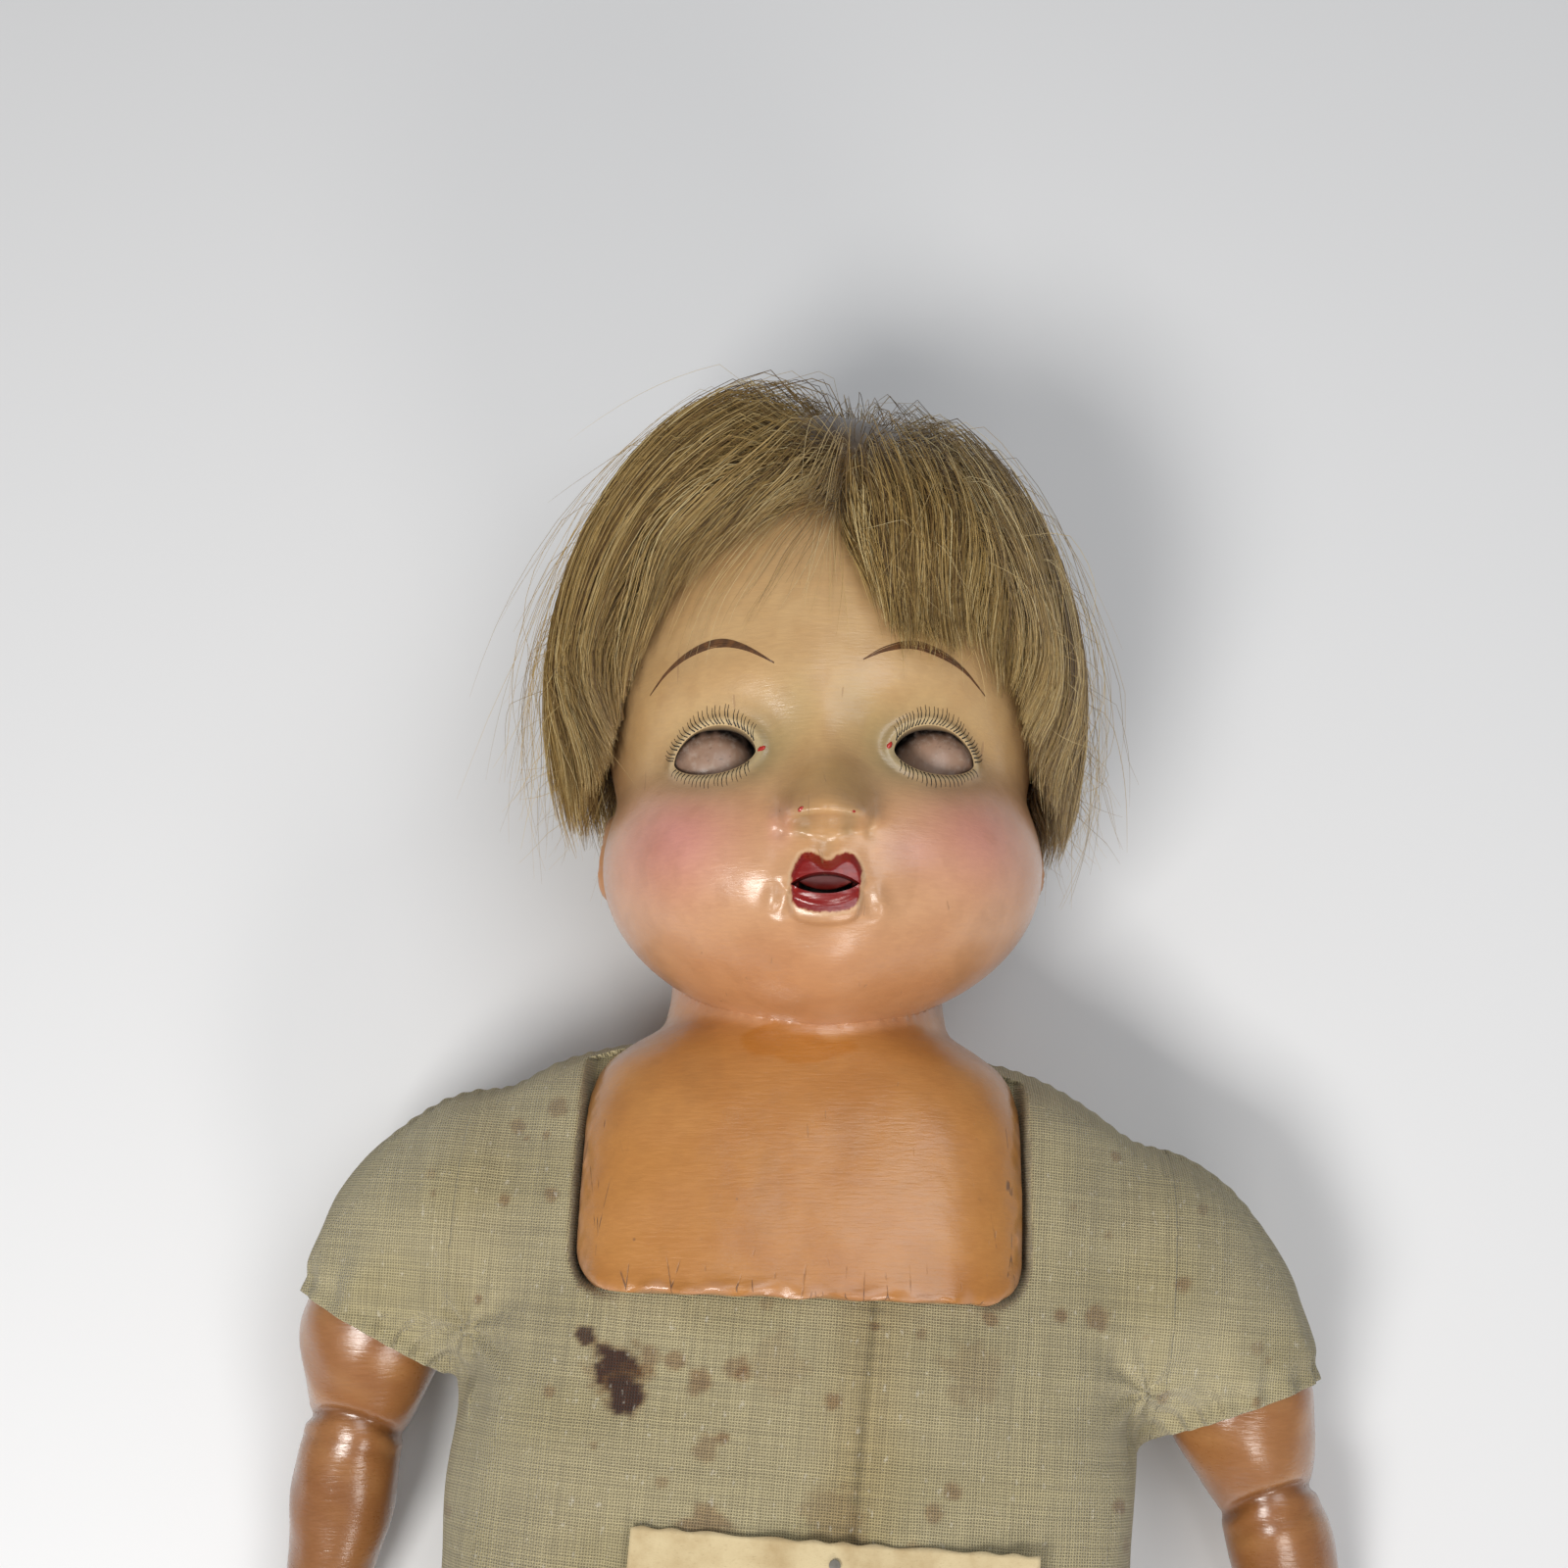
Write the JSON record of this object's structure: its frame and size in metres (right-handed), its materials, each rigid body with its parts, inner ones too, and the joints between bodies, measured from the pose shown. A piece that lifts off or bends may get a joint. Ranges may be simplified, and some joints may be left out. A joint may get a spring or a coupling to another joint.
{
  "type": "ventriloquist doll",
  "caption": "Baby-doll style ventriloquist figure with a composition shoulder head, sleeping eyes, a moving mouth flap, a stuffed cloth body and composition limbs.",
  "frame": {"origin": "middle of the flat of the cloth back, on the surface the doll lies on", "axes": "+X is the doll's left, +Y runs to the crown of the head, +Z is out of the face"},
  "size_m": [0.3769, 0.7607, 0.1715],
  "materials": {
    "composition": "glossy varnished paint over wood-pulp composition",
    "composition_limb": "glossy caramel varnish over wood-pulp composition",
    "pate": "plain pressed card",
    "wig_net": "open cotton net",
    "hair": "straw-blond mohair",
    "plaster": "dry matt plaster",
    "tin": "dull tinplate",
    "brass": "worn brass",
    "linen": "coarse unbleached linen with brown stains",
    "wadding": "cotton wadding",
    "paper": "aged cream paper",
    "steel": "dull steel wire",
    "eye_white": "glossy white",
    "iris": "glossy blue",
    "lid": "dusty pink paint on tin",
    "lead": "dull lead grey",
    "mouth_red": "satin dark red paint on tin"
  },
  "bodies": {
    "root": {"head_front": "composition", "head_back": "composition", "crown_pate": "pate", "wig_cap": "wig_net", "wig_hair": "hair", "right_eye_bearing": "plaster", "left_eye_bearing": "plaster", "mouth_bracket": "tin", "cord_eyelet": "brass", "torso_cloth": "linen", "torso_stuffing": "wadding", "paper_label": "paper", "label_pin": "steel", "mouth_spring": "steel"},
    "eyes": {"right_eyeball": "eye_white", "left_eyeball": "eye_white", "right_iris": "iris", "left_iris": "iris", "right_eyelid": "lid", "left_eyelid": "lid", "eye_rocker": "steel", "eye_weight": "lead"},
    "mouth": {"mouth_flap": "mouth_red", "mouth_axle": "steel", "mouth_lever": "steel"},
    "right_upper_arm": {"right_sleeve": "linen", "right_sleeve_stuffing": "wadding"},
    "left_upper_arm": {"left_sleeve": "linen", "left_sleeve_stuffing": "wadding"},
    "right_forearm": {"right_arm": "composition_limb", "right_arm_tie": "steel"},
    "left_forearm": {"left_arm": "composition_limb", "left_arm_tie": "steel"},
    "right_leg_body": {"right_thigh": "linen", "right_thigh_stuffing": "wadding", "right_leg": "composition_limb", "right_leg_tie": "steel"},
    "left_leg_body": {"left_thigh": "linen", "left_thigh_stuffing": "wadding", "left_leg": "composition_limb", "left_leg_tie": "steel"}
  },
  "joints": [
    {"name": "eye_tilt", "type": "hinge", "parent": "root", "child": "eyes", "pos_m": [0, 0.205, 0.124], "axis": [-1, 0, 0], "range_deg": [0, 58]},
    {"name": "mouth_open", "type": "hinge", "parent": "root", "child": "mouth", "pos_m": [0, 0.169, 0.1385], "axis": [-1, 0, 0], "range_deg": [0, 25], "stiffness_Nm_per_rad": 0.01, "springref_deg": -17.19},
    {"name": "right_shoulder", "type": "hinge", "parent": "root", "child": "right_upper_arm", "pos_m": [-0.11272, 0.07372, 0.056], "axis": [-0.9962, 0.0872, 0], "range_deg": [0, 170]},
    {"name": "left_shoulder", "type": "hinge", "parent": "root", "child": "left_upper_arm", "pos_m": [0.10644, 0.05455, 0.056], "axis": [-0.9962, 0.0872, 0], "range_deg": [0, 170]},
    {"name": "right_arm_spread", "type": "hinge", "parent": "right_upper_arm", "child": "right_forearm", "pos_m": [-0.14097, 0.04909, 0.048], "axis": [0, 0, -1], "range_deg": [-3, 20]},
    {"name": "left_arm_spread", "type": "hinge", "parent": "left_upper_arm", "child": "left_forearm", "pos_m": [0.12999, 0.02539, 0.048], "axis": [0, 0, 1], "range_deg": [-18, 4]},
    {"name": "right_hip", "type": "hinge", "parent": "root", "child": "right_leg_body", "pos_m": [-0.06639, -0.13109, 0.036], "axis": [-0.9962, 0.0872, 0], "range_deg": [0, 85]},
    {"name": "left_hip", "type": "hinge", "parent": "root", "child": "left_leg_body", "pos_m": [0.02526, -0.13911, 0.036], "axis": [-0.9962, 0.0872, 0], "range_deg": [0, 85]}
  ]
}
